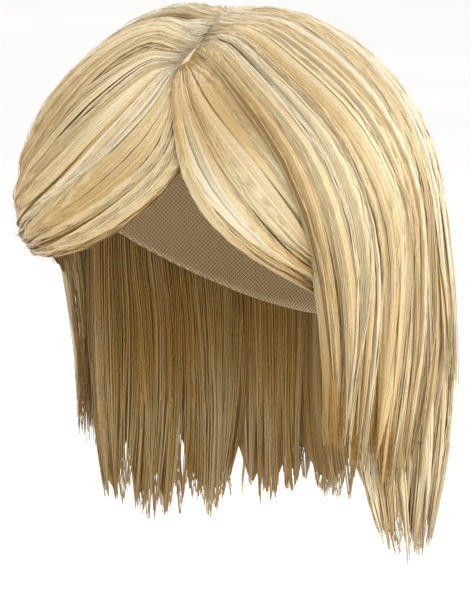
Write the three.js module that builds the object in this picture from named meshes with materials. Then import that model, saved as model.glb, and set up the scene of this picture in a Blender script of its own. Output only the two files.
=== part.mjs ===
// A straight blond wig: a stretch cap, a scalp-coloured parting strip and layered sections of hair.
// Millimetres, +Z up. The origin is inside the crown of the cap, where it sits on the head.
// The face looks along -Y and the wearer's left is +X.
import * as THREE from 'three';
import { LoftGeometry } from 'three/addons/geometries/LoftGeometry.js';
import { mergeVertices } from 'three/addons/utils/BufferGeometryUtils.js';

// The head that the cap fits is 55 cm round and widest at crownHeight below the crown.
// A place on it is a lon, in degrees from the face towards the wearer's left,
// and a drop from the crown, in millimetres as measured down the middle of the face.
const HEAD = { halfBreadth: 77, halfLength: 98, crownHeight: 95, crownToWidest: 150 };

// The cap's rim falls from the front hairline to the nape.
const CAP = { wall: 1.5, frontDrop: 98, napeDrop: 205, roundSteps: 40, downSteps: 9 };

// The strip that shows as scalp in the parting, a little to the wearer's left.
const PARTING = { lon: 14, frontDrop: 56, backDrop: 12, width: 4, thickness: 1, clearance: 0.4, steps: 8 };

// What all the locks share. A groove parts two locks and a notch parts their ends.
const LOCK = {
  columns: 4,
  grooveAtRoot: 1,
  grooveAtTip: 3.2,
  roundness: 0.7,
  widthWobble: 0.35,
  wobblePerLock: 1.9,
  notch: 0.1,
  lengthSpread: 0.05,
  tipStart: 0.7,
};

const COLOURS = {
  hair: { color: 0xc9ae7c, roughness: 0.42, metalness: 0 },
  scalp: { color: 0xdcb497, roughness: 0.7, metalness: 0 },
  cap: { color: 0xb79a6b, roughness: 0.9, metalness: 0 },
};

// The sections of hair. A guide is a line of hair from root to tip, and lon and drop list its stations.
// Below the head's widest level a guide hangs straight down.
// outer and inner are how far the section's two faces stand off the head at each station.
// A guide's swell is added to outer, in the proportion that swellShape gives for the station.
const SECTIONS = [
  {
    name: 'fringe_right', locks: 10, rows: 12, rootRise: 0.1,
    outer: [12, 14.5, 16, 19, 13.5],
    inner: [2.1, 2.6, 2.7, 2.8, 3],
    swellShape: [0.3, 1, 1, 0.8, 0.2],
    guides: [
      { swell: -6, lon: [26, 17, 3, -22, -52], drop: [112, 128, 147, 157, 160] },
      { swell: -3, lon: [22.5, 14, 0, -24, -56], drop: [92, 112, 134, 150, 159] },
      { swell: 0, lon: [16.5, 7, -6, -28, -60], drop: [72, 88, 111, 138, 160] },
      { swell: 2, lon: [9, -4, -18, -35, -64], drop: [52, 70, 93, 124, 160] },
      { swell: 4, lon: [5, -26, -38, -49, -70], drop: [32, 46, 76, 112, 160] },
      { swell: 3, lon: [-14, -51, -65, -74, -80], drop: [15, 40, 76, 114, 160] },
    ],
  },
  {
    name: 'fringe_left', locks: 7, rows: 11, rootRise: 0.1,
    outer: [8, 9.6, 9.8, 9.6, 8.5],
    inner: [2.1, 2.5, 2.5, 2.5, 2.5],
    swellShape: [0, 1, 1, 0.5, 0],
    guides: [
      { swell: -0.5, lon: [38, 54, 69, 80, 88], drop: [61, 85, 112, 136, 158] },
      { swell: 0, lon: [20, 42, 58, 70, 82], drop: [56, 86, 116, 143, 165] },
      { swell: 0, lon: [18.7, 38, 53, 66, 80], drop: [73, 99, 126, 150, 170] },
      { swell: 0, lon: [23.8, 35, 48, 62, 78], drop: [92, 114, 138, 158, 175] },
      { swell: -1, lon: [27, 32, 44, 58, 76], drop: [112, 128, 149, 165, 180] },
    ],
  },
  {
    name: 'side_left', locks: 8, rows: 12, rootRise: 0.08,
    outer: [15, 18.5, 20.5, 20.5, 20.5, 17],
    inner: [2.1, 11.2, 11, 11, 11, 12],
    swellShape: [0, 0.5, 0.8, 1, 0.6, 0.4],
    guides: [
      { swell: 2, lon: [104, 109, 111.5, 113, 113, 109], drop: [6, 48, 96, 148, 206, 262] },
      { swell: 1, lon: [35, 72, 88, 97, 95, 92], drop: [17, 60, 102, 150, 208, 266] },
      { swell: 0, lon: [22.5, 54, 72, 80, 79, 78], drop: [32, 71, 112, 158, 208, 258] },
      { swell: -3, lon: [20.5, 42, 57, 65.5, 66, 67], drop: [46, 79, 117, 160, 205, 250] },
    ],
  },
  {
    name: 'side_right', locks: 6, rows: 12, rootRise: 0.08,
    outer: [15, 18.5, 20, 21, 20.5, 16],
    inner: [2.1, 3.6, 6, 10.8, 11, 12],
    swellShape: [0, 0.5, 0.8, 1, 0.6, 0.4],
    guides: [
      { swell: 0, lon: [-19, -55.5, -72, -84, -91, -90], drop: [13, 43, 92, 146, 205, 255] },
      { swell: 1, lon: [-60, -80, -92, -98, -100, -98], drop: [6, 46, 96, 150, 206, 260] },
      { swell: 2, lon: [-104, -109, -111.5, -113, -113, -109], drop: [6, 48, 96, 150, 206, 262] },
    ],
  },
  {
    name: 'back_upper', locks: 12, rows: 10, rootRise: 0.09,
    outer: [15, 18, 20.5, 22.5, 28],
    inner: [2.1, 4, 11, 11.5, 22],
    swellShape: [0, 0.5, 0.8, 1, 0.4],
    guides: [
      { swell: 2, lon: [248, 249.2, 247, 245.3, 244.5], drop: [6, 48, 96, 148, 188] },
      { swell: 3, lon: [216, 215, 214, 213, 212], drop: [6, 52, 102, 153, 195] },
      { swell: 3, lon: [180, 180, 180, 180, 180], drop: [7, 54, 104, 156, 198] },
      { swell: 3, lon: [144, 145, 146, 147, 148], drop: [6, 52, 102, 153, 195] },
      { swell: 2, lon: [112, 110.8, 113, 114.7, 115.5], drop: [6, 48, 96, 148, 188] },
    ],
  },
  {
    name: 'nape', locks: 14, rows: 10, rootRise: 0.2,
    outer: [10, 10.2, 10.2, 10.2, 14],
    inner: [2.1, 3, 3, 3.5, 7],
    swellShape: [0, 0.02, 1, 0.8, 0.45],
    guides: [
      { swell: 0, lon: [272, 272, 272, 270, 263], drop: [140, 172, 207, 255, 300] },
      { swell: 0.5, lon: [250, 248.5, 246, 246, 246], drop: [138, 172, 207, 257, 310] },
      { swell: 20, lon: [232, 231, 229, 228, 228], drop: [136, 170, 205, 257, 310] },
      { swell: 19, lon: [207, 206, 205, 205, 205], drop: [135, 172, 207, 259, 306] },
      { swell: 18, lon: [180, 180, 180, 180, 180], drop: [134, 174, 209, 260, 304] },
      { swell: 19, lon: [153, 154, 155, 155, 155], drop: [135, 172, 207, 259, 310] },
      { swell: 20, lon: [128, 129, 131, 132, 132], drop: [136, 170, 205, 257, 314] },
      { swell: 0.5, lon: [110, 111.5, 114, 114, 114], drop: [138, 172, 207, 257, 314] },
      { swell: 0, lon: [86, 84, 79, 85, 94], drop: [140, 172, 207, 255, 305] },
    ],
  },
];

const { degToRad, lerp } = THREE.MathUtils;
const clamp01 = (t) => THREE.MathUtils.clamp(t, 0, 1);
const smoothCurve = (points) => new THREE.CatmullRomCurve3(points, false, 'catmullrom', 0.5);

// A place on the head. Past the widest level it hangs straight down, or follows the skull in to the neck.
function headPlace(lon, drop, hangs = true) {
  const onHead = hangs ? Math.min(drop, HEAD.crownToWidest) : drop;
  const down = (Math.PI / 2) * (onHead / HEAD.crownToWidest);
  const round = degToRad(lon);
  return new THREE.Vector3(
    HEAD.halfBreadth * Math.sin(down) * Math.sin(round),
    -HEAD.halfLength * Math.sin(down) * Math.cos(round),
    HEAD.crownHeight * (Math.cos(down) - 1) - (drop - onHead),
  );
}

// The place moved onto the head and then off it by lift, square to the head.
function liftOff(place, lift, hangs = true) {
  const height = place.z + HEAD.crownHeight;
  const hang = hangs ? Math.min(height, 0) : 0;
  const halves = new THREE.Vector3(HEAD.halfBreadth, HEAD.halfLength, HEAD.crownHeight);
  const unit = new THREE.Vector3(place.x, place.y, height - hang).divide(halves).normalize();
  const normal = unit.clone().divide(halves).normalize();
  const lifted = unit.multiply(halves).addScaledVector(normal, lift);
  return lifted.setZ(lifted.z + hang - HEAD.crownHeight);
}

// A closed solid skinned through rings of points. The end rings are capped, or shrink to a line or a point.
function skin(rings, capped = false) {
  const loft = new LoftGeometry(rings, { closed: true, capStart: capped, capEnd: capped });
  const bare = new THREE.BufferGeometry();
  bare.setAttribute('position', loft.getAttribute('position'));
  bare.setIndex(loft.getIndex());
  const solid = mergeVertices(bare, 1e-3);
  const corners = solid.index.array;
  const kept = [];
  for (let i = 0; i < corners.length; i += 3) {
    const [a, b, c] = corners.slice(i, i + 3);
    if (a !== b && b !== c && c !== a) kept.push(a, b, c);
  }
  solid.setIndex(kept);
  solid.computeVertexNormals();
  return solid;
}

// A repeatable fraction from 0 to 1 for one lock of a section.
const lockChance = (lock, locks) => Math.abs((Math.sin((lock + 1) * 12.9898 + locks) * 43758.5453) % 1);

// One column of a section: u across it, crest from 0 in a groove to 1 on a lock,
// and reach, its share of the guide's length.
function lockColumn({ locks }, column) {
  const place = column / LOCK.columns;
  const share = place / locks;
  const wobble = LOCK.widthWobble * Math.sin(Math.PI * share) * Math.sin(LOCK.wobblePerLock * place);
  const crest = Math.abs(Math.sin(Math.PI * place)) ** LOCK.roundness;
  const lock = Math.min(Math.floor(place), locks - 1);
  const shorter = LOCK.notch * (1 - crest) + LOCK.lengthSpread * lockChance(lock, locks) * crest;
  return { u: clamp01(share + wobble / locks), crest, reach: 1 - shorter };
}

// The guide at u across a section: a curve of places, and a curve of outer and inner lifts.
function guideAt({ guides, outer, inner, swellShape }, u) {
  const swell = smoothCurve(guides.map((guide) => new THREE.Vector3(guide.swell, 0, 0))).getPoint(u).x;
  const places = outer.map((_, station) => {
    const across = guides.map(({ lon, drop }) => headPlace(lon[station], drop[station]));
    return smoothCurve(across).getPoint(u);
  });
  const lifts = outer.map((lift, station) =>
    new THREE.Vector3(lift + swell * swellShape[station], inner[station], 0));
  return { places: smoothCurve(places), lifts: smoothCurve(lifts) };
}

// The outer and inner points of a column, along of the way from its root to its tip.
// The hair thickens from its root and thins to its tip, where the two faces meet.
function hairFaces(section, guide, { crest, reach }, along) {
  const v = along * reach;
  const place = guide.places.getPoint(v);
  const { x: outer, y: inner } = guide.lifts.getPoint(v);
  const rise = 1 - (1 - clamp01(v / section.rootRise)) ** 2;
  const fall = 1 - clamp01((along - LOCK.tipStart) / (1 - LOCK.tipStart)) ** 2;
  const groove = (1 - crest) * lerp(LOCK.grooveAtRoot, LOCK.grooveAtTip, v);
  const top = inner + (outer - inner - groove) * rise;
  const middle = (outer + inner) / 2;
  return {
    outer: liftOff(place, lerp(middle, top, fall)),
    inner: liftOff(place, lerp(middle, inner, fall)),
  };
}

// Rows lie closer together near the roots and the tips, where the thickness changes.
const rowPlace = (t) => t - (0.5 * Math.sin(2 * Math.PI * t)) / (2 * Math.PI);

function hairSection(section) {
  const columns = Array.from({ length: section.locks * LOCK.columns + 1 }, (_, i) => lockColumn(section, i));
  const guides = columns.map(({ u }) => guideAt(section, u));
  const rings = [];
  for (let row = 0; row <= section.rows; row++) {
    const along = rowPlace(row / section.rows);
    const faces = columns.map((column, i) => hairFaces(section, guides[i], column, along));
    rings.push([...faces.map(({ outer }) => outer), ...faces.map(({ inner }) => inner).reverse()]);
  }
  return skin(rings);
}

// A ring round the cap, at a share of the way from its crown to its rim.
function capRing(share, lift) {
  return Array.from({ length: CAP.roundSteps }, (_, i) => {
    const lon = (-360 * i) / CAP.roundSteps;
    const rimDrop = lerp(CAP.frontDrop, CAP.napeDrop, (1 - Math.cos(degToRad(lon))) / 2);
    return liftOff(headPlace(lon, share * rimDrop, false), lift, false);
  });
}

function wigCap() {
  const shares = Array.from({ length: CAP.downSteps + 1 }, (_, i) => i / CAP.downSteps);
  const outside = shares.map((share) => capRing(share, CAP.wall));
  const inside = shares.map((share) => capRing(share, 0));
  return skin([...outside, ...inside.reverse()]);
}

function partingStrip() {
  const { lon, frontDrop, backDrop, width, thickness, clearance, steps } = PARTING;
  const low = CAP.wall + clearance;
  const high = low + thickness;
  const along = headPlace(lon, frontDrop).sub(headPlace(lon, backDrop));
  const across = new THREE.Vector3(-along.y, along.x, 0).setLength(width / 2);
  const rings = [];
  for (let i = 0; i <= steps; i++) {
    const middle = headPlace(lon, lerp(frontDrop, backDrop, i / steps));
    const corner = (side, lift) => liftOff(middle.clone().addScaledVector(across, side), lift);
    rings.push([corner(1, low), corner(-1, low), corner(-1, high), corner(1, high)]);
  }
  return skin(rings, true);
}

function piece(name, geometry, colour) {
  const mesh = new THREE.Mesh(geometry, new THREE.MeshStandardMaterial(COLOURS[colour]));
  mesh.name = name;
  return mesh;
}

const wig = new THREE.Group();
wig.add(piece('wig_cap', wigCap(), 'cap'));
wig.add(piece('parting_strip', partingStrip(), 'scalp'));
for (const section of SECTIONS) wig.add(piece(section.name, hairSection(section), 'hair'));

export default wig;
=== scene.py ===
import math

import bmesh
import bpy
import numpy as np
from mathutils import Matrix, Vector


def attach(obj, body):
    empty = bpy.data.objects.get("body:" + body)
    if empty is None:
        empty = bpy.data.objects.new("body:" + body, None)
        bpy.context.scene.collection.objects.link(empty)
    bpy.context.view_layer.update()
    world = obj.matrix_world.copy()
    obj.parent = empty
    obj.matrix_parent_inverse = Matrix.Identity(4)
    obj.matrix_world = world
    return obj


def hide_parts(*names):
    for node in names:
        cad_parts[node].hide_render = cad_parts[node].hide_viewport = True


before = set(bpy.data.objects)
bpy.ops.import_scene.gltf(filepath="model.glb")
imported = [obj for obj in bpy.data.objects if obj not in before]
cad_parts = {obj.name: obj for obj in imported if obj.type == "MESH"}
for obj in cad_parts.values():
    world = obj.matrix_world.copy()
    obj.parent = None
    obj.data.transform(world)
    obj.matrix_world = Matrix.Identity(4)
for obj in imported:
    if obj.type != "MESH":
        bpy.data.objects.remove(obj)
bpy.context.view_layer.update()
print("frame loaded:", len(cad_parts), "nodes")


def newObject(name, data):
    made = bpy.data.objects.new(name, data)
    bpy.context.collection.objects.link(made)
    return made


def pointAt(turned, target):
    turned.rotation_euler = (target - turned.location).to_track_quat("-Z", "Y").to_euler()


# camera: at the photograph's angle, turned from the front towards +X

camera = {
    "turn": 35.0,  # degrees
    "rise": 3.0,
    "distance": 1.65,
    "lens": 201.96,
    "clipEnd": 200,
    "aimRight": 0.0037,  # where the middle of the image lies, from the crown
    "aimUp": -0.1304,
}

turn, rise = math.radians(camera["turn"]), math.radians(camera["rise"])
towardsCamera = Vector((math.sin(turn) * math.cos(rise), -math.cos(turn) * math.cos(rise), math.sin(rise)))
cameraRight = Vector((math.cos(turn), math.sin(turn), 0))
cameraUp = towardsCamera.cross(cameraRight)
cameraData = bpy.data.cameras.new("camera")
cameraData.lens = camera["lens"]
cameraData.clip_end = camera["clipEnd"]
cameraObject = newObject("camera", cameraData)
cameraObject.location = towardsCamera * camera["distance"]
pointAt(cameraObject, cameraRight * camera["aimRight"] + cameraUp * camera["aimUp"])
bpy.context.scene.camera = cameraObject
print("camera set")


# the form that cap and hair are laid on: a place on it is a lon in degrees from the front towards +X,
# and a drop from the crown

capForm = {"halfBreadth": 0.077, "halfLength": 0.098, "crownHeight": 0.095, "crownToWidest": 0.15}
halves = np.array([capForm["halfBreadth"], capForm["halfLength"], capForm["crownHeight"]])


def formPlace(lon, drop, hangs=True):
    lon, drop = np.radians(lon), np.asarray(drop, float)
    onForm = np.minimum(drop, capForm["crownToWidest"]) if hangs else drop
    down = math.pi / 2 * onForm / capForm["crownToWidest"]
    x = halves[0] * np.sin(down) * np.sin(lon)
    y = -halves[1] * np.sin(down) * np.cos(lon)
    z = halves[2] * (np.cos(down) - 1) - (drop - onForm)
    return np.stack([x, y, z], axis=-1)


def unitRows(rows):
    return rows / np.linalg.norm(rows, axis=-1, keepdims=True)


# moves places onto the form and then off it by lift; below the widest level they hang straight down
def liftOff(place, lift, hangs=True):
    height = place[..., 2] + capForm["crownHeight"]
    hang = np.minimum(height, 0) if hangs else height * 0
    unit = unitRows(np.stack([place[..., 0], place[..., 1], height - hang], axis=-1) / halves)
    normal = unitRows(unit / halves)
    spot = unit * halves + normal * np.asarray(lift)[..., None]
    spot[..., 2] += hang - capForm["crownHeight"]
    return spot, normal


# shader nodes that the materials share

noiseRange = (0.3, 0.7)  # most of a noise texture lies between these


def linear(colour):  # 0 to 255 on the sRGB curve, to the shader's own numbers
    share = np.array(colour) / 255
    return (*np.where(share > 0.04045, ((share + 0.055) / 1.055) ** 2.4, share / 12.92), 1)


def newMaterial(name):
    material = bpy.data.materials.new(name)
    material.use_nodes = True
    nodes = material.node_tree.nodes
    return material, nodes, material.node_tree.links, nodes["Principled BSDF"]


def ramp(nodes, stops):
    node = nodes.new("ShaderNodeValToRGB")
    while len(node.color_ramp.elements) < len(stops):
        node.color_ramp.elements.new(1)
    for element, (place, colour) in zip(node.color_ramp.elements, stops):
        element.position = place
        element.color = linear(colour)
    return node


def attribute(nodes, name):
    node = nodes.new("ShaderNodeAttribute")
    node.attribute_name = name
    return node


def noise(nodes, scale, detail):
    node = nodes.new("ShaderNodeTexNoise")
    node.inputs["Scale"].default_value = scale
    node.inputs["Detail"].default_value = detail
    return node


def mapNoise(nodes, low, high):
    node = nodes.new("ShaderNodeMapRange")
    node.inputs["From Min"].default_value = noiseRange[0]
    node.inputs["From Max"].default_value = noiseRange[1]
    node.inputs["To Min"].default_value = low
    node.inputs["To Max"].default_value = high
    return node


def bump(nodes, strength, distance):
    node = nodes.new("ShaderNodeBump")
    node.inputs["Strength"].default_value = strength
    node.inputs["Distance"].default_value = distance
    return node


def addPiece(name, mesh, material):
    mesh.materials.append(material)
    mesh.shade_smooth()
    piece = newObject(name, mesh)
    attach(piece, "root")
    return piece


def meshFrom(bm, name):
    mesh = bpy.data.meshes.new(name)
    bm.to_mesh(mesh)
    bm.free()
    return mesh


# cap: a stretch net with rows of weft sewn round it

capNet = {
    "wall": 0.0015,
    "frontDrop": 0.098,
    "napeDrop": 0.205,
    "round": 72,
    "down": 54,
    "weftPitch": 0.0128,
    "weftHeight": 0.0006,
    "weftSharpness": 8,
    "weftFrom": 0.02,  # drop at which the weft has its full height
    "weld": 1e-6,
    "girthRadius": 0.085,  # to measure round the net
    "meshPitch": 0.0016,
    "meshTurn": 45,  # degrees
    "threadShare": 0.17,  # of the pitch
    "threadBlur": 0.6,
    "thread": (224, 204, 164),
    "hole": (168, 140, 98),
    "darkHole": 0.88,  # how bright the darkest holes are, to the others
    "netRelief": 0.6,
    "netDepth": 0.0004,
    "rough": 0.85,
    "fuzz": 0.2,
}


def capMaterial():
    material, nodes, links, shader = newMaterial("stretch_net")
    lay = attribute(nodes, "lay")
    turned = nodes.new("ShaderNodeMapping")
    turned.inputs["Rotation"].default_value = (0, 0, math.radians(capNet["meshTurn"]))
    links.new(lay.outputs["Vector"], turned.inputs["Vector"])
    weave = nodes.new("ShaderNodeTexBrick")
    weave.offset = 0
    weave.inputs["Scale"].default_value = 1
    weave.inputs["Brick Width"].default_value = capNet["meshPitch"]
    weave.inputs["Row Height"].default_value = capNet["meshPitch"]
    weave.inputs["Mortar Size"].default_value = capNet["meshPitch"] * capNet["threadShare"]
    weave.inputs["Mortar Smooth"].default_value = capNet["threadBlur"]
    weave.inputs["Color1"].default_value = linear(capNet["hole"])
    weave.inputs["Color2"].default_value = linear([shade * capNet["darkHole"] for shade in capNet["hole"]])
    weave.inputs["Mortar"].default_value = linear(capNet["thread"])
    links.new(turned.outputs["Vector"], weave.inputs["Vector"])
    links.new(weave.outputs["Color"], shader.inputs["Base Color"])
    relief = bump(nodes, capNet["netRelief"], capNet["netDepth"])
    links.new(weave.outputs["Fac"], relief.inputs["Height"])
    links.new(relief.outputs["Normal"], shader.inputs["Normal"])
    shader.inputs["Roughness"].default_value = capNet["rough"]
    shader.inputs["Sheen Weight"].default_value = capNet["fuzz"]
    return material


def makeCap():
    bm = bmesh.new()
    lay = bm.verts.layers.float_vector.new("lay")
    made = bmesh.ops.create_grid(bm, x_segments=capNet["round"], y_segments=capNet["down"], size=0.5)
    flat = np.array([vert.co for vert in made["verts"]]) + 0.5
    lon = -360 * flat[:, 0]
    rimFall = capNet["napeDrop"] - capNet["frontDrop"]
    rim = capNet["frontDrop"] + rimFall * (1 - np.cos(np.radians(lon))) / 2
    drop = flat[:, 1] * rim
    ridge = np.abs(np.sin(math.pi * drop / capNet["weftPitch"])) ** capNet["weftSharpness"]
    weft = ridge * capNet["weftHeight"] * np.minimum(drop / capNet["weftFrom"], 1)
    spots, _ = liftOff(formPlace(lon, drop, False), -weft, False)
    for vert, spot, angle, down in zip(made["verts"], spots, lon, drop):
        vert.co = spot
        vert[lay] = (math.radians(angle) * capNet["girthRadius"], down, 0)
    bmesh.ops.remove_doubles(bm, verts=bm.verts, dist=capNet["weld"])
    bmesh.ops.recalc_face_normals(bm, faces=bm.faces)
    bmesh.ops.solidify(bm, geom=bm.faces[:], thickness=-capNet["wall"])
    return meshFrom(bm, "wig_cap_net")


capPiece = addPiece("wig_cap_net", makeCap(), capMaterial())
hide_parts("wig_cap")
print("cap made:", len(capPiece.data.polygons), "faces")


# parting strip: a soft ribbon that shows as scalp between the two sides

partingStrip = {
    "lon": 14,
    "frontDrop": 0.056,
    "backDrop": 0.012,
    "width": 0.004,
    "low": 0.0019,
    "high": 0.0029,
    "cuts": 24,
    "edge": 0.18,  # share of the section that the rounding takes
    "edgeSegments": 3,
    "mottleScale": 260,
    "mottleDetail": 4,
    "skin": [(0.3, (216, 192, 154)), (0.7, (228, 208, 174))],
    "root": (200, 172, 128),
    "rootScale": 1300,
    "rootDots": [(0.14, (255, 255, 255)), (0.26, (0, 0, 0))],  # white where a dot shows
    "poreRelief": 0.4,
    "poreDepth": 0.0003,
    "rough": 0.6,
}


def scalpMaterial():
    material, nodes, links, shader = newMaterial("scalp_strip")
    place = nodes.new("ShaderNodeTexCoord")
    mottle = noise(nodes, partingStrip["mottleScale"], partingStrip["mottleDetail"])
    links.new(place.outputs["Object"], mottle.inputs["Vector"])
    skin = ramp(nodes, partingStrip["skin"])
    links.new(mottle.outputs["Fac"], skin.inputs["Fac"])
    dots = nodes.new("ShaderNodeTexVoronoi")
    dots.inputs["Scale"].default_value = partingStrip["rootScale"]
    links.new(place.outputs["Object"], dots.inputs["Vector"])
    root = ramp(nodes, partingStrip["rootDots"])
    links.new(dots.outputs["Distance"], root.inputs["Fac"])
    mixed = nodes.new("ShaderNodeMix")
    mixed.data_type = "RGBA"
    mixed.inputs["B"].default_value = linear(partingStrip["root"])
    links.new(root.outputs["Color"], mixed.inputs["Factor"])
    links.new(skin.outputs["Color"], mixed.inputs["A"])
    links.new(mixed.outputs["Result"], shader.inputs["Base Color"])
    pores = bump(nodes, partingStrip["poreRelief"], partingStrip["poreDepth"])
    links.new(dots.outputs["Distance"], pores.inputs["Height"])
    links.new(pores.outputs["Normal"], shader.inputs["Normal"])
    shader.inputs["Roughness"].default_value = partingStrip["rough"]
    return material


def lengthwiseEdges(bm):
    return [edge for edge in bm.edges if abs((edge.verts[0].co - edge.verts[1].co).y) > 0.5]


def makeStrip():
    bm = bmesh.new()
    bmesh.ops.create_cube(bm, size=1)
    bmesh.ops.bevel(bm, geom=lengthwiseEdges(bm), offset=partingStrip["edge"], offset_type="OFFSET",
                    affect="EDGES", segments=partingStrip["edgeSegments"], profile=0.5, material=-1)
    bmesh.ops.subdivide_edges(bm, edges=lengthwiseEdges(bm), cuts=partingStrip["cuts"], use_grid_fill=True)
    flat = np.array([vert.co for vert in bm.verts])
    lon, front, back = partingStrip["lon"], partingStrip["frontDrop"], partingStrip["backDrop"]
    along = formPlace(lon, front) - formPlace(lon, back)
    across = unitRows(np.array([-along[1], along[0], 0])) * partingStrip["width"]
    middle = formPlace(lon, front + (back - front) * (flat[:, 1] + 0.5))
    lift = partingStrip["low"] + (partingStrip["high"] - partingStrip["low"]) * (flat[:, 2] + 0.5)
    spots, _ = liftOff(middle + across * flat[:, :1], lift)
    for vert, spot in zip(bm.verts, spots):
        vert.co = spot
    bmesh.ops.recalc_face_normals(bm, faces=bm.faces)
    return meshFrom(bm, "parting_scalp")


stripPiece = addPiece("parting_scalp", makeStrip(), scalpMaterial())
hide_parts("parting_strip")
print("parting strip made:", len(stripPiece.data.polygons), "faces")


# hair: a section's faces, smooth between its guides and parted into locks

lock = {
    "grooveAtRoot": 0.001,
    "grooveAtTip": 0.0032,
    "grooveSharpness": 4,
    "roundness": 0.7,
    "widthWobble": 0.35,
    "wobblePerLock": 1.9,
    "notch": 0.06,
    "lengthSpread": 0.04,
    "chanceStep": 12.9898,  # these two scatter the locks' lengths
    "chanceScale": 43758.5453,
    "tipStart": 0.7,
    "pastEnds": 0.1,  # how far a curve may run past its ends
}


def padEnds(grid):  # one row more at each end, carried straight on
    return np.concatenate([[2 * grid[0] - grid[1]], grid, [2 * grid[-1] - grid[-2]]])


def sectionGrid(section):  # x, y, z, outer lift and inner lift for each guide and station
    rows = []
    for guide in section["guides"]:
        outer = np.array(section["outer"]) + guide["swell"] * np.array(section["swellShape"])
        rows.append(np.column_stack([formPlace(guide["lon"], guide["drop"]), outer, section["inner"]]))
    grid = padEnds(np.array(rows))
    return padEnds(grid.swapaxes(0, 1)).swapaxes(0, 1)


# a smooth curve mixes four rows at t: the first of them, and their shares
def curveShares(t, count):
    place = np.clip(t, -lock["pastEnds"], 1 + lock["pastEnds"]) * (count - 1)
    first = np.clip(np.floor(place).astype(int), 0, count - 2)
    x = place - first
    shares = [-x + 2 * x**2 - x**3, 2 - 5 * x**2 + 3 * x**3, x + 4 * x**2 - 3 * x**3, x**3 - x**2]
    return first, [share / 2 for share in shares]


def mixGrid(grid, u, v):
    firstGuide, guideShares = curveShares(u, grid.shape[0] - 2)
    firstStation, stationShares = curveShares(v, grid.shape[1] - 2)
    mixed = np.zeros((*np.shape(u), grid.shape[2]))
    for i, guideShare in enumerate(guideShares):
        for j, stationShare in enumerate(stationShares):
            mixed += (guideShare * stationShare)[..., None] * grid[firstGuide + i, firstStation + j]
    return mixed


def lockAt(section, share):  # u across the guides, crest of the lock, and its reach
    place = share * section["locks"]
    wobble = lock["widthWobble"] * np.sin(math.pi * share) * np.sin(lock["wobblePerLock"] * place)
    crest = np.abs(np.sin(math.pi * place)) ** lock["roundness"]
    number = np.clip(np.floor(place), 0, section["locks"] - 1)
    scattered = np.sin((number + 1) * lock["chanceStep"] + section["locks"]) * lock["chanceScale"]
    chance = np.abs(np.fmod(scattered, 1))
    shorter = lock["notch"] * (1 - crest) + lock["lengthSpread"] * chance * crest
    return share + wobble / section["locks"], crest, 1 - shorter


# places, outer lifts and inner lifts at a share across the section, along a column and at v of the guides
def hairFaces(section, share, along, v, pinch):
    u, _, _ = lockAt(section, share)
    crest = 1 - np.cos(math.pi * share * section["locks"]) ** lock["grooveSharpness"]
    mixed = mixGrid(section["grid"], u, v)
    place, outer, inner = mixed[..., :3], mixed[..., 3], mixed[..., 4]
    rise = 1 - (1 - np.clip(v / section["rootRise"], 0, 1)) ** 2
    fall = 1 - pinch * np.clip((along - lock["tipStart"]) / (1 - lock["tipStart"]), 0, 1) ** 2
    depth = lock["grooveAtRoot"] + (lock["grooveAtTip"] - lock["grooveAtRoot"]) * v
    groove = section["grooves"] * (1 - crest) * depth
    top = inner + (outer - inner - groove) * rise
    middle = (outer + inner) / 2
    return place, middle + (top - middle) * fall, middle + (inner - middle) * fall


# under hair: the closed body below a section's strands, streaked along its length

underHair = {
    # darker golden than the strands: painted shade for the depth below them
    "tones": [(0.2, (112, 84, 40)), (0.5, (152, 122, 70)), (0.8, (188, 160, 106))],
    "acrossScale": 900,  # streaks to a metre
    "alongScale": 12,
    "streakDetail": 4,
    "furrowRelief": 0.8,
    "furrowDepth": 0.0006,
    "rough": 0.5,
    "columns": 6,  # to a lock
    "rows": 16,
    "inset": 0.0024,  # below the section's faces
    "leastHalf": 0.0003,  # half of its thickness
    "thinEdge": 0.5,  # share of a lock, at the sides of the section
    "point": 0.15,  # how much shorter it is between the locks
    "tipPinch": 1,
    "weld": 1e-5,
}


def underMaterial():
    material, nodes, links, shader = newMaterial("under_hair_painted_shade")
    lay = attribute(nodes, "lay")
    stretch = nodes.new("ShaderNodeMapping")
    stretch.inputs["Scale"].default_value = (underHair["acrossScale"], underHair["alongScale"], 1)
    links.new(lay.outputs["Vector"], stretch.inputs["Vector"])
    streaks = noise(nodes, 1, underHair["streakDetail"])
    links.new(stretch.outputs["Vector"], streaks.inputs["Vector"])
    colours = ramp(nodes, underHair["tones"])
    links.new(streaks.outputs["Fac"], colours.inputs["Fac"])
    links.new(colours.outputs["Color"], shader.inputs["Base Color"])
    furrow = bump(nodes, underHair["furrowRelief"], underHair["furrowDepth"])
    links.new(streaks.outputs["Fac"], furrow.inputs["Height"])
    links.new(furrow.outputs["Normal"], shader.inputs["Normal"])
    shader.inputs["Roughness"].default_value = underHair["rough"]
    return material


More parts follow.
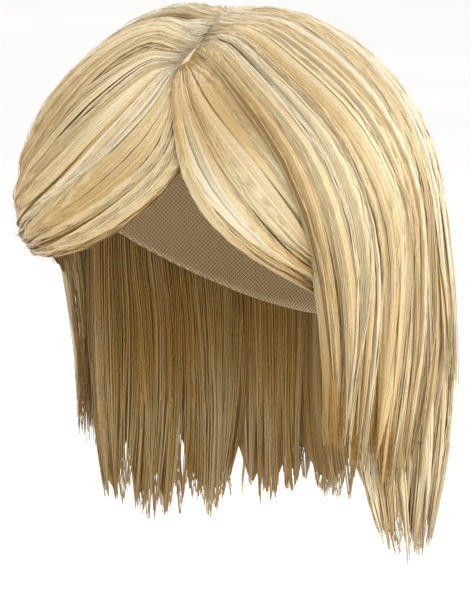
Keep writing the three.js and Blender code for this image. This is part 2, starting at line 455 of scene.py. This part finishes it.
# two sheets that meet all round, a little inside the strands
def makeUnderHair(section):
    bm = bmesh.new()
    lay = bm.verts.layers.float_vector.new("lay")
    columns = section["locks"] * underHair["columns"]
    for outwards in (1, -1):
        made = bmesh.ops.create_grid(bm, x_segments=columns, y_segments=underHair["rows"], size=0.5)
        flat = np.array([vert.co for vert in made["verts"]]) + 0.5
        share, along = flat[:, 0], flat[:, 1]
        _, crest, _ = lockAt(section, share)
        reach = section["bodyReach"] * (1 - underHair["point"] + underHair["point"] * crest**2)
        place, outer, inner = hairFaces(section, share, along, along * reach, underHair["tipPinch"])
        fromEdge = np.minimum(share, 1 - share) * section["locks"]
        edge = np.sqrt(np.clip(fromEdge / underHair["thinEdge"], 0, 1))
        half = np.maximum((outer - inner) / 2 - underHair["inset"], underHair["leastHalf"]) * edge
        spots, _ = liftOff(place, (outer + inner) / 2 + outwards * half)
        for vert, spot, across, down in zip(made["verts"], spots, share, along):
            vert.co = spot
            vert[lay] = (across * section["breadth"], down * section["length"], 0)
    bmesh.ops.remove_doubles(bm, verts=bm.verts, dist=underHair["weld"])
    bmesh.ops.recalc_face_normals(bm, faces=bm.faces)
    return meshFrom(bm, section["node"] + "_under")


# blond fibre: one colour ramp, read from the tone that each strand carries

blond = {
    "tones": [
        (0.0, (118, 80, 26)),
        (0.25, (174, 136, 66)),
        (0.5, (210, 190, 148)),
        (0.75, (229, 221, 200)),
        (1.0, (240, 234, 218)),
    ],
    "grainScale": 700,
    "grainDetail": 2,
    "roughLow": 0.25,
    "roughHigh": 0.33,
    "shine": 0.8,
    "shineTint": (1, 0.86, 0.6),
    "gloss": 0.3,
    "glossTint": (1, 0.94, 0.82),
    "glossRough": 0.2,
}


def fibreMaterial():
    material, nodes, links, shader = newMaterial("blond_fibre")
    tone = attribute(nodes, "tone")
    colours = ramp(nodes, blond["tones"])
    links.new(tone.outputs["Fac"], colours.inputs["Fac"])
    links.new(colours.outputs["Color"], shader.inputs["Base Color"])
    place = nodes.new("ShaderNodeTexCoord")
    grain = noise(nodes, blond["grainScale"], blond["grainDetail"])
    links.new(place.outputs["Object"], grain.inputs["Vector"])
    rough = mapNoise(nodes, blond["roughLow"], blond["roughHigh"])
    links.new(grain.outputs["Fac"], rough.inputs["Value"])
    links.new(rough.outputs["Result"], shader.inputs["Roughness"])
    shader.inputs["Specular IOR Level"].default_value = blond["shine"]
    shader.inputs["Specular Tint"].default_value = (*blond["shineTint"], 1)
    shader.inputs["Coat Weight"].default_value = blond["gloss"]
    shader.inputs["Coat Tint"].default_value = (*blond["glossTint"], 1)
    shader.inputs["Coat Roughness"].default_value = blond["glossRough"]
    return material


# strands: what all the sections share

strand = {
    "sides": 3,
    "flatness": 0.35,  # height over width
    "widths": (0.75, 1.25),  # of the section's strand width
    "rootWidth": 0.55,  # at the very root,
    "widening": 8,  # and how fast it grows from there
    "tipLength": 0.2,  # share of the strand
    "tipNarrowing": 0.25,
    "tipPinch": 0.7,  # of the section's thickness, at the tips
    "stagger": 0.45,  # of a step, from one side of a bunch to the other
    "shorter": 0.016,
    "reachLimits": (0.72, 1.1),
    "tipsFrom": 0.55,  # strands keep in step down to here
    "rootLength": 0.1,  # share of the strand
    "rootLift": 0.0032,
    "overlapShares": (0.4, 1),  # of the overlap at the roots
    "crownLift": 0.009,  # more of a lift where all the sections meet
    "crownLiftAtRoot": 0.75,
    "crownOverlap": 0.004,
    "crownReach": 0.025,  # metres
    "crownFlat": 0.3,  # of that reach, where the crown has its full effect
    "jitter": 0.00005,
    "stray": 0.004,  # share of strands that fly away
    "strayShares": (0.2, 1),
    "strayLift": 0.004,
    "edgeShare": 0.12,  # of the section, where an edge drops
    "edgeDropLimit": 1.5,
    "paintedRimLightShare": 0.4,  # of the section, where an edge carries painted rim light
    "toneNoise": 0.03,
    "paintedShadeAtSides": 0.03,  # painted shade: darker by this at the sides of a bunch,
    "paintedShadeBehind": 0.1,  # and painted shade by this on the inner face
    "toneWave": 0.035,
    "toneWaves": (4, 10),  # radians down a strand
    "toneLimits": (0.08, 0.72),
}

bunches = {
    "spread": 0.5,  # of the room that each has
    "widths": (0.5, 1.5),
    "settled": 0.07,  # share of its length where a bunch has its full lift
    "gatherPower": 4,
    "swayPower": 0.7,
    "waveStarts": (0, 6.3),  # radians
    "breatheWaves": (3, 9),
    "swayWaves": (1.5, 4),
}

# three tiers: fine tufts that fill a section, darker as painted shade for the depth below the ribbons;
# broad ribbons that lie over them; a few lighter wisps on top
tiers = {
    "tufts": {
        "sink": 0.0006, "low": -0.0016, "high": -0.0004, "rounding": 0.0005, "tone": -0.06, "gather": 0.45,
        "breathe": 0.1, "lean": 0.003, "sway": 0.0015, "shorter": 0.035, "point": 0.08,
    },
    "ribbons": {
        "sink": 0, "low": -0.0002, "high": 0.0008, "rounding": 0.001, "tone": 0.05, "gather": 0.25,
        "breathe": 0.3, "lean": 0.006, "sway": 0.0025, "shorter": 0.04, "point": 0.09,
    },
    "wisps": {
        "sink": -0.0003, "low": 0.0008, "high": 0.0014, "rounding": 0.0002, "tone": 0.1, "gather": 0.3,
        "breathe": 0.3, "lean": 0.009, "sway": 0.005, "shorter": 0.08, "point": 0.05,
    },
}


def perStrand(values, strands):  # each strand takes its bunch's value
    return values[np.arange(strands) % len(values)][:, None]


def bunchWave(along, count, waves, rng):  # a slow wave down each bunch
    start = perStrand(rng.uniform(*bunches["waveStarts"], count), len(along))
    return np.sin(start + perStrand(rng.uniform(*waves, count), len(along)) * along)


# shares of the section that a tier's strands run at, and each bunch's lift, tone and reach
def layBunches(section, tierName, side, along, rng):
    tier, count, width = tiers[tierName], section[tierName]["count"], section[tierName]["width"]
    metre = 1 / section["breadth"]
    strands = len(side)
    middle = np.arange(count) + 0.5 + rng.uniform(-1, 1, count) * bunches["spread"]
    halfWidth = perStrand(width / 2 * rng.uniform(*bunches["widths"], count), strands)
    halfWidth = halfWidth * (1 + tier["breathe"] * bunchWave(along, count, bunches["breatheWaves"], rng))
    lift = perStrand(rng.uniform(tier["low"], tier["high"], count), strands)
    lift = lift * section["relief"] - tier["sink"]
    tone = perStrand(rng.normal(0, section["toneSpread"], count), strands)
    # painted shade by tier: the tufts, which lie deepest, are darker
    tone = tone + section["tone"] + tier["tone"] * section["paintedTierShade"]
    reach = perStrand(1 - np.abs(rng.normal(0, tier["shorter"], count)), strands)
    lean = perStrand(rng.normal(0, tier["lean"], count), strands) * along**2
    sway = perStrand(rng.normal(0, tier["sway"], count), strands) * along ** bunches["swayPower"]
    sway = sway * bunchWave(along, count, bunches["swayWaves"], rng)
    gather = 1 + (tier["gather"] - 1) * along ** bunches["gatherPower"]
    share = perStrand(middle / count, strands) + metre * (halfWidth * side * gather + lean + sway)
    share = 1 - np.abs(1 - np.abs(share))  # turned back at the section's edges
    before, after = section["edgeOverlap"]
    return share * (1 + metre * (before + after)) - metre * before, lift, tone, reach


# the points of one tier's strands, the form's normal and the strand's width and tone at each
def growTier(section, tierName, rng):
    tier, bunch = tiers[tierName], section[tierName]
    column = (bunch["strands"], 1)
    side = rng.uniform(-1, 1, column)  # of its bunch
    step = np.arange(bunch["steps"] + 1)[None, :]
    inside = (step > 0) & (step < bunch["steps"])
    along = ((step + strand["stagger"] * side * inside) / bunch["steps"]) ** section["crowding"]
    share, bunchLift, bunchTone, bunchReach = layBunches(section, tierName, side, along, rng)

    # how far down they reach
    _, _, lockReach = lockAt(section, share[:, :1])
    reach = lockReach * bunchReach * (1 - np.abs(rng.normal(0, strand["shorter"], column)))
    reach = np.clip(reach + section["longer"] - tier["point"] * side**2, *strand["reachLimits"])
    v = along + (reach - 1) * np.clip((along - strand["tipsFrom"]) / (1 - strand["tipsFrom"]), 0, 1)
    place, outer, inner = hairFaces(section, share, along, v, strand["tipPinch"])

    # the roots start a little behind the section's edge
    pastRoot = np.clip(along / strand["rootLength"], 0, 1)
    back = unitRows(place[:, 0] - place[:, 1])[:, None, :]
    fromCrown = np.hypot(place[:, :1, 0], place[:, :1, 1])
    atCrown = np.clip(1 + strand["crownFlat"] - fromCrown / strand["crownReach"], 0, 1)
    overlap = section["rootOverlap"] + strand["crownOverlap"] * atCrown
    overlap = overlap * rng.uniform(*strand["overlapShares"], column) * (1 - pastRoot) ** 2

    # how far off the section's faces they lie
    relief = bunchLift - tier["rounding"] * section["relief"] * side**2
    relief = relief + rng.normal(0, strand["jitter"], column)
    relief = relief * np.clip(along / bunches["settled"], 0, 1)
    for fromEdge, edgeDrop in zip((share, 1 - share), section["edgeDrop"]):
        atEdge = np.clip(1 - fromEdge / strand["edgeShare"], 0, strand["edgeDropLimit"])
        relief = relief - edgeDrop * atEdge**2 * pastRoot
    behind = rng.uniform(0, 1, column) < bunch["behind"]
    stray = (rng.uniform(0, 1, column) < strand["stray"]) * rng.uniform(*strand["strayShares"], column)
    lift = np.where(behind, inner - relief, outer + relief) + stray * strand["strayLift"] * along
    crownGrowth = np.clip(strand["crownLiftAtRoot"] + along / strand["rootLength"], 0, 1)
    rootLift = strand["rootLift"] + strand["crownLift"] * atCrown * crownGrowth
    points, normals = liftOff(place + back * overlap[..., None], np.maximum(lift, rootLift))

    # width and tone
    width = section["strandWidth"] * rng.uniform(*strand["widths"], column)
    width = width * np.clip(strand["rootWidth"] + along * strand["widening"], 0, 1)
    atTip = np.clip((along - (1 - strand["tipLength"])) / strand["tipLength"], 0, 1)
    width = width * (1 - strand["tipNarrowing"] * atTip)
    # painted shade at the sides of each bunch
    tone = bunchTone + rng.normal(0, strand["toneNoise"], column) - strand["paintedShadeAtSides"] * side**2
    tone = tone + strand["toneWave"] * bunchWave(along, bunch["count"], strand["toneWaves"], rng)
    # painted light and shade down the strand from the section's shade curve: painted sheen bands, painted
    # shadow under an upper layer, roots lightened against the parting's shade, darker towards the tips; and
    # painted shade on the inner face
    tone = tone + np.interp(v, section["shadeAt"], section["shade"]) - strand["paintedShadeBehind"] * behind
    # painted rim light: the section is lighter towards an edge
    for fromEdge, paintedRimLight in zip((share, 1 - share), section["paintedRimLight"]):
        tone = tone + paintedRimLight * np.clip(1 - fromEdge / strand["paintedRimLightShare"], 0, 1)
    return points, normals, width, np.clip(tone, *strand["toneLimits"])


# one joined mesh of closed tubes, from each tier's points, normals, widths and tones
def tubeMesh(name, grown):
    sides, corners, sizes, spots, tones = strand["sides"], [], [], [], []
    angles = math.pi / 2 + 2 * math.pi * np.arange(sides) / sides
    for points, normals, width, tone in grown:
        along = unitRows(np.gradient(points, axis=1))
        side = unitRows(np.cross(along, normals))
        up = np.cross(side, along) * strand["flatness"]
        ring = np.cos(angles)[:, None] * side[:, :, None, :] + np.sin(angles)[:, None] * up[:, :, None, :]
        number = np.arange(tone.size * sides).reshape(*tone.shape, sides) + sum(len(rows) for rows in spots)
        spots.append((points[:, :, None, :] + width[:, :, None, None] / 2 * ring).reshape(-1, 3))
        tones.append(np.repeat(tone.ravel(), sides))
        beside = np.roll(number, -1, axis=2)
        walls = np.stack([number[:, :-1], number[:, 1:], beside[:, 1:], beside[:, :-1]], axis=-1)
        walls = walls.reshape(-1, 4)
        ends = np.concatenate([number[:, 0], number[:, -1, ::-1]])
        corners += [walls.ravel(), ends.ravel()]
        sizes += [np.full(len(walls), 4), np.full(len(ends), sides)]
    spots, corners, sizes = np.concatenate(spots), np.concatenate(corners), np.concatenate(sizes)
    mesh = bpy.data.meshes.new(name)
    mesh.vertices.add(len(spots))
    mesh.vertices.foreach_set("co", spots.astype(np.float32).ravel())
    mesh.loops.add(len(corners))
    mesh.loops.foreach_set("vertex_index", corners.astype(np.int32))
    mesh.polygons.add(len(sizes))
    mesh.polygons.foreach_set("loop_start", (np.cumsum(sizes) - sizes).astype(np.int32))
    mesh.update(calc_edges=True)
    carried = mesh.attributes.new("tone", "FLOAT", "POINT")
    carried.data.foreach_set("value", np.concatenate(tones).astype(np.float32))
    return mesh


# sections: guides side by side, each with stations from root to tip; outer and inner are lifts off the form

# the fringe that sweeps from the parting across the front to the right

fringeRight = {
    "node": "fringe_right",
    "locks": 10,
    "outer": [0.01, 0.012, 0.0145, 0.0165, 0.019, 0.0135],
    "inner": [0.0021, 0.0025, 0.0026, 0.0027, 0.0028, 0.003],
    "swellShape": [0.3, 1, 1, 0.9, 0.7, 0.2],
    "guides": [
        {"swell": -0.0065, "lon": [15.5, 26, 25.5, 8, -16, -52],
         "drop": [0.062, 0.09, 0.115, 0.141, 0.156, 0.16]},
        {"swell": -0.004, "lon": [14.5, 21, 17, 0, -24, -56],
         "drop": [0.061, 0.086, 0.112, 0.135, 0.151, 0.16]},
        {"swell": -0.001, "lon": [12.5, 13, 5, -9, -31, -60],
         "drop": [0.058, 0.081, 0.106, 0.129, 0.147, 0.16]},
        {"swell": 0.002, "lon": [10, 2, -8, -20, -40, -64],
         "drop": [0.054, 0.07, 0.093, 0.116, 0.14, 0.16]},
        {"swell": 0.004, "lon": [5, -21, -33, -42, -54, -70],
         "drop": [0.032, 0.042, 0.063, 0.089, 0.122, 0.16]},
        {"swell": 0.003, "lon": [-14, -45, -60, -68.5, -75, -80],
         "drop": [0.015, 0.034, 0.06, 0.091, 0.123, 0.16]},
    ],
    "breadth": 0.12, "length": 0.13, "rootRise": 0.18, "grooves": 0.4, "bodyReach": 1.1,
    "tufts": {"strands": 800, "steps": 10, "count": 40, "width": 0.009, "behind": 0.08},
    "ribbons": {"strands": 1450, "steps": 14, "count": 17, "width": 0.0105, "behind": 0},
    "wisps": {"strands": 70, "steps": 10, "count": 14, "width": 0.002, "behind": 0},
    "seed": 11, "crowding": 1.3, "strandWidth": 0.00052, "relief": 0.55, "longer": 0.12,
    "rootOverlap": 0.0045, "edgeOverlap": (0, 0.008), "edgeDrop": (0, 0),
    "tone": 0.46, "toneSpread": 0.09, "paintedTierShade": 0.7, "paintedRimLight": (0, 0),
    # roots lightened as painted light against the parting's shade, a faint lighter band below them, darker
    # towards the tips
    "shadeAt": [0, 0.1, 0.25, 0.5, 0.75, 1],
    "shade": [0.2, 0.06, 0.06, 0, -0.08, -0.16],
}

# the shorter fringe on the other side of the parting, which slips under the side hair

fringeLeft = {
    "node": "fringe_left",
    "locks": 7,
    "outer": [0.008, 0.0096, 0.0098, 0.0096, 0.0085],
    "inner": [0.0021, 0.0025, 0.0025, 0.0025, 0.0025],
    "swellShape": [0.2, 1, 1, 0.5, 0],
    "guides": [
        {"swell": -0.0005, "lon": [20.5, 50, 68, 80, 88], "drop": [0.047, 0.085, 0.112, 0.136, 0.158]},
        {"swell": 0, "lon": [20, 42, 58, 70, 82], "drop": [0.055, 0.086, 0.116, 0.143, 0.165]},
        {"swell": 0, "lon": [18, 33, 49, 64, 80], "drop": [0.055, 0.086, 0.118, 0.147, 0.17]},
        {"swell": 0, "lon": [16, 27, 39, 54, 78], "drop": [0.057, 0.088, 0.121, 0.15, 0.176]},
        {"swell": 0.001, "lon": [13, 20.5, 28, 42, 76], "drop": [0.059, 0.089, 0.122, 0.148, 0.181]},
    ],
    "breadth": 0.09, "length": 0.14, "rootRise": 0.16, "grooves": 0.2, "bodyReach": 0.92,
    "tufts": {"strands": 500, "steps": 9, "count": 26, "width": 0.008, "behind": 0.08},
    "ribbons": {"strands": 950, "steps": 14, "count": 12, "width": 0.0118, "behind": 0},
    "wisps": {"strands": 40, "steps": 9, "count": 8, "width": 0.002, "behind": 0},
    "seed": 12, "crowding": 1.2, "strandWidth": 0.00052, "relief": 0.25, "longer": 0.07,
    "rootOverlap": 0.004, "edgeOverlap": (0.006, 0), "edgeDrop": (0, 0),
    "tone": 0.43, "toneSpread": 0.04, "paintedTierShade": 0.3, "paintedRimLight": (0, 0),
    # a painted sheen band across the middle of the length, with painted shade above and below it
    "shadeAt": [0, 0.3, 0.5, 0.65, 0.85, 1],
    "shade": [-0.08, -0.08, 0.09, 0.09, -0.06, -0.12],
}

# the long hair at the left side, +X

sideLeft = {
    "node": "side_left",
    "locks": 8,
    "outer": [0.015, 0.0185, 0.0205, 0.0205, 0.0205, 0.017],
    "inner": [0.0021, 0.0112, 0.011, 0.011, 0.011, 0.012],
    "swellShape": 1,  # each guide has a shape of its own
    "guides": [
        {"swell": [0, 0.001, 0.0016, 0.0035, 0.0065, 0.005], "lon": [104, 109, 111.5, 113, 114, 112],
         "drop": [0.006, 0.048, 0.096, 0.148, 0.206, 0.262]},
        {"swell": [0, 0.0005, 0.0008, 0.001, 0.001, 0.001], "lon": [35, 72, 88, 97, 95, 92],
         "drop": [0.017, 0.06, 0.102, 0.15, 0.208, 0.262]},
        {"swell": [0, 0, 0, 0, 0, 0], "lon": [22.5, 54, 72, 80, 79, 78],
         "drop": [0.032, 0.071, 0.112, 0.158, 0.206, 0.25]},
        {"swell": [0, -0.0028, -0.0044, -0.0055, -0.0033, -0.0022], "lon": [20.5, 42, 57, 66, 69, 70],
         "drop": [0.046, 0.079, 0.117, 0.16, 0.203, 0.244]},
    ],
    "breadth": 0.1, "length": 0.26, "rootRise": 0.16, "grooves": 1.1, "bodyReach": 0.9,
    "tufts": {"strands": 800, "steps": 10, "count": 40, "width": 0.009, "behind": 0.3},
    "ribbons": {"strands": 1300, "steps": 18, "count": 14, "width": 0.0095, "behind": 0},
    "wisps": {"strands": 80, "steps": 10, "count": 16, "width": 0.002, "behind": 0},
    "seed": 23, "crowding": 1.4, "strandWidth": 0.00056, "relief": 0.6, "longer": 0.08,
    "rootOverlap": 0.0045, "edgeOverlap": (0.008, 0), "edgeDrop": (0, 0.004),
    "tone": 0.48, "toneSpread": 0.12, "paintedTierShade": 0.6, "paintedRimLight": (0.1, 0),
    # roots lightened as painted light against the parting's shade, darker towards the tips
    "shadeAt": [0, 0.06, 0.3, 0.5, 0.75, 1],
    "shade": [0.15, 0, 0, 0, -0.04, -0.16],
}

# the long hair at the right side

sideRight = {
    "node": "side_right",
    "locks": 6,
    "outer": [0.015, 0.0185, 0.02, 0.021, 0.0205, 0.016],
    "inner": [0.0021, 0.0036, 0.006, 0.0108, 0.011, 0.012],
    "swellShape": [0, 0.5, 0.8, 1, 0.6, 0.4],
    "guides": [
        {"swell": 0, "lon": [-19, -55.5, -72, -84, -91, -90],
         "drop": [0.013, 0.043, 0.092, 0.146, 0.205, 0.255]},
        {"swell": 0.001, "lon": [-60, -80, -92, -98, -100, -98],
         "drop": [0.006, 0.046, 0.096, 0.15, 0.206, 0.26]},
        {"swell": 0.002, "lon": [-104, -109, -111.5, -113, -113, -109],
         "drop": [0.006, 0.048, 0.096, 0.15, 0.206, 0.262]},
    ],
    "breadth": 0.075, "length": 0.26, "rootRise": 0.08, "grooves": 1, "bodyReach": 0.88,
    "tufts": {"strands": 500, "steps": 10, "count": 28, "width": 0.009, "behind": 0.35},
    "ribbons": {"strands": 800, "steps": 14, "count": 11, "width": 0.009, "behind": 0},
    "wisps": {"strands": 40, "steps": 10, "count": 8, "width": 0.002, "behind": 0},
    "seed": 14, "crowding": 1.4, "strandWidth": 0.00056, "relief": 1, "longer": 0.08,
    "rootOverlap": 0.003, "edgeOverlap": (0.015, 0.008), "edgeDrop": (0, 0),
    "tone": 0.52, "toneSpread": 0.09, "paintedTierShade": 0.7, "paintedRimLight": (0, 0),
    "shadeAt": [0, 0.15, 0.3, 0.5, 0.75, 1],
    "shade": [-0.02, 0.04, 0.06, 0, -0.04, -0.12],
}

# the upper layer at the back

backUpper = {
    "node": "back_upper",
    "locks": 12,
    "outer": [0.0135, 0.0172, 0.0205, 0.0225, 0.0285, 0.031],
    "inner": [0.0021, 0.004, 0.011, 0.0115, 0.022, 0.029],
    "swellShape": [0, 0.5, 0.8, 1, 0.4, 0.2],
    "guides": [
        {"swell": 0.002, "lon": [248, 249.2, 247, 245.3, 244.5, 244],
         "drop": [0.006, 0.048, 0.096, 0.148, 0.188, 0.236]},
        {"swell": 0.003, "lon": [216, 215, 214, 213, 212, 212],
         "drop": [0.006, 0.052, 0.102, 0.153, 0.195, 0.243]},
        {"swell": 0.003, "lon": [180, 180, 180, 180, 180, 180],
         "drop": [0.007, 0.054, 0.104, 0.156, 0.198, 0.246]},
        {"swell": 0.003, "lon": [144, 145, 146, 147, 148, 148],
         "drop": [0.006, 0.052, 0.102, 0.153, 0.195, 0.243]},
        {"swell": 0.002, "lon": [112, 110.8, 113, 114.7, 115.5, 116],
         "drop": [0.006, 0.048, 0.096, 0.148, 0.188, 0.236]},
    ],
    "breadth": 0.24, "length": 0.2, "rootRise": 0.07, "grooves": 0.6, "bodyReach": 0.77,
    "tufts": {"strands": 900, "steps": 9, "count": 54, "width": 0.011, "behind": 0.08},
    "ribbons": {"strands": 1400, "steps": 13, "count": 28, "width": 0.01, "behind": 0},
    "wisps": {"strands": 60, "steps": 9, "count": 12, "width": 0.002, "behind": 0},
    "seed": 15, "crowding": 1.4, "strandWidth": 0.00068, "relief": 0.5, "longer": 0.03,
    "rootOverlap": 0.005, "edgeOverlap": (0.01, 0.01), "edgeDrop": (0, 0),
    "tone": 0.51, "toneSpread": 0.06, "paintedTierShade": 0.7, "paintedRimLight": (0, 0.04),
    "shadeAt": [0, 0.15, 0.35, 0.6, 0.8, 1],
    "shade": [-0.02, 0.04, 0.06, 0, -0.04, -0.08],
}

# the lower layer, which falls from the nape

nape = {
    "node": "nape",
    "locks": 14,
    "outer": [0.01, 0.0102, 0.0102, 0.0102, 0.014],
    "inner": [0.0021, 0.003, 0.003, 0.0035, 0.007],
    "swellShape": [0, 0.02, 0.87, 0.92, 0.5],
    "guides": [
        {"swell": 0, "lon": [272, 272, 272, 270, 263], "drop": [0.14, 0.172, 0.207, 0.255, 0.3]},
        {"swell": 0.0115, "lon": [250, 248.5, 246, 246, 246], "drop": [0.138, 0.172, 0.207, 0.257, 0.31]},
        {"swell": 0.02, "lon": [232, 231, 229, 228, 228], "drop": [0.136, 0.17, 0.205, 0.257, 0.31]},
        {"swell": 0.019, "lon": [207, 206, 205, 205, 205], "drop": [0.135, 0.172, 0.207, 0.259, 0.306]},
        {"swell": 0.018, "lon": [180, 180, 180, 180, 180], "drop": [0.134, 0.174, 0.209, 0.26, 0.304]},
        {"swell": 0.019, "lon": [153, 154, 155, 155, 155], "drop": [0.135, 0.172, 0.207, 0.259, 0.31]},
        {"swell": 0.02, "lon": [128, 129, 131, 132, 132], "drop": [0.136, 0.17, 0.205, 0.257, 0.314]},
        {"swell": 0.0115, "lon": [110, 111.5, 114, 114, 114], "drop": [0.138, 0.172, 0.207, 0.257, 0.314]},
        {"swell": 0, "lon": [86, 84, 79, 85, 94], "drop": [0.14, 0.172, 0.207, 0.255, 0.305]},
    ],
    "breadth": 0.3, "length": 0.17, "rootRise": 0.2, "grooves": 1, "bodyReach": 0.95,
    "tufts": {"strands": 1700, "steps": 10, "count": 74, "width": 0.011, "behind": 0.6},
    "ribbons": {"strands": 1000, "steps": 13, "count": 28, "width": 0.012, "behind": 0},
    "wisps": {"strands": 70, "steps": 10, "count": 14, "width": 0.002, "behind": 0},
    "seed": 16, "crowding": 1, "strandWidth": 0.0008, "relief": 0.6, "longer": 0.05,
    "rootOverlap": 0, "edgeOverlap": (0, 0), "edgeDrop": (0, 0),
    "tone": 0.53, "toneSpread": 0.045, "paintedTierShade": 0.6, "paintedRimLight": (0, 0.05),
    # painted shadow where the nape lies under the upper layer, and darker towards the tips
    "shadeAt": [0, 0.5, 0.8, 1],
    "shade": [-0.14, -0.14, 0, -0.09],
}

fibre, under = fibreMaterial(), underMaterial()
for section in (fringeRight, fringeLeft, sideLeft, sideRight, backUpper, nape):
    section["grid"] = sectionGrid(section)
    addPiece(section["node"] + "_under", makeUnderHair(section), under)
    rng = np.random.default_rng(section["seed"])
    grown = [growTier(section, tierName, rng) for tierName in tiers]
    strands = addPiece(section["node"] + "_hair", tubeMesh(section["node"] + "_hair", grown), fibre)
    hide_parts(section["node"])
    triangles = sum(len(face.vertices) - 2 for face in strands.data.polygons)
    print(section["node"], "grown:", triangles, "triangles")


# floor and light

studio = {
    "floorHeight": -0.33,
    "floorHalf": 30,
    "floorTones": [(0.3, (244, 243, 241)), (0.7, (249, 248, 247))],
    "floorCloud": 1.5,
    "floorDetail": 2,
    "floorRough": 0.9,
    "world": 1.05,
    "lightAim": (0, 0, -0.11),
    "lights": [
        {"name": "key", "place": (1.55, -0.6, 0.5), "size": 0.6, "power": 7},
        {"name": "fill", "place": (-1.2, -1.2, 0.05), "size": 0.8, "power": 3},
        {"name": "rim", "place": (1.35, 0.95, 0.35), "size": 0.8, "power": 15},
        {"name": "top", "place": (-0.9, -0.3, 1.1), "size": 0.8, "power": 7},
    ],
}


def floorMaterial():
    material, nodes, links, shader = newMaterial("pale_floor")
    place = nodes.new("ShaderNodeTexCoord")
    cloud = noise(nodes, studio["floorCloud"], studio["floorDetail"])
    links.new(place.outputs["Object"], cloud.inputs["Vector"])
    colours = ramp(nodes, studio["floorTones"])
    links.new(cloud.outputs["Fac"], colours.inputs["Fac"])
    links.new(colours.outputs["Color"], shader.inputs["Base Color"])
    shader.inputs["Roughness"].default_value = studio["floorRough"]
    return material


bm = bmesh.new()
bmesh.ops.create_grid(bm, x_segments=1, y_segments=1, size=studio["floorHalf"])
bmesh.ops.translate(bm, verts=bm.verts, vec=(0, 0, studio["floorHeight"]))
floor = newObject("floor", meshFrom(bm, "floor"))
floor.data.materials.append(floorMaterial())

for light in studio["lights"]:
    lamp = bpy.data.lights.new(light["name"], "AREA")
    lamp.size = light["size"]
    lamp.energy = light["power"]
    lampObject = newObject(light["name"], lamp)
    lampObject.location = light["place"]
    pointAt(lampObject, Vector(studio["lightAim"]))

world = bpy.data.worlds.new("studio")
bpy.context.scene.world = world
world.use_nodes = True
world.node_tree.nodes["Background"].inputs["Color"].default_value = (1, 1, 1, 1)
world.node_tree.nodes["Background"].inputs["Strength"].default_value = studio["world"]
bpy.context.scene.view_settings.view_transform = "Standard"
print("floor and lights set")
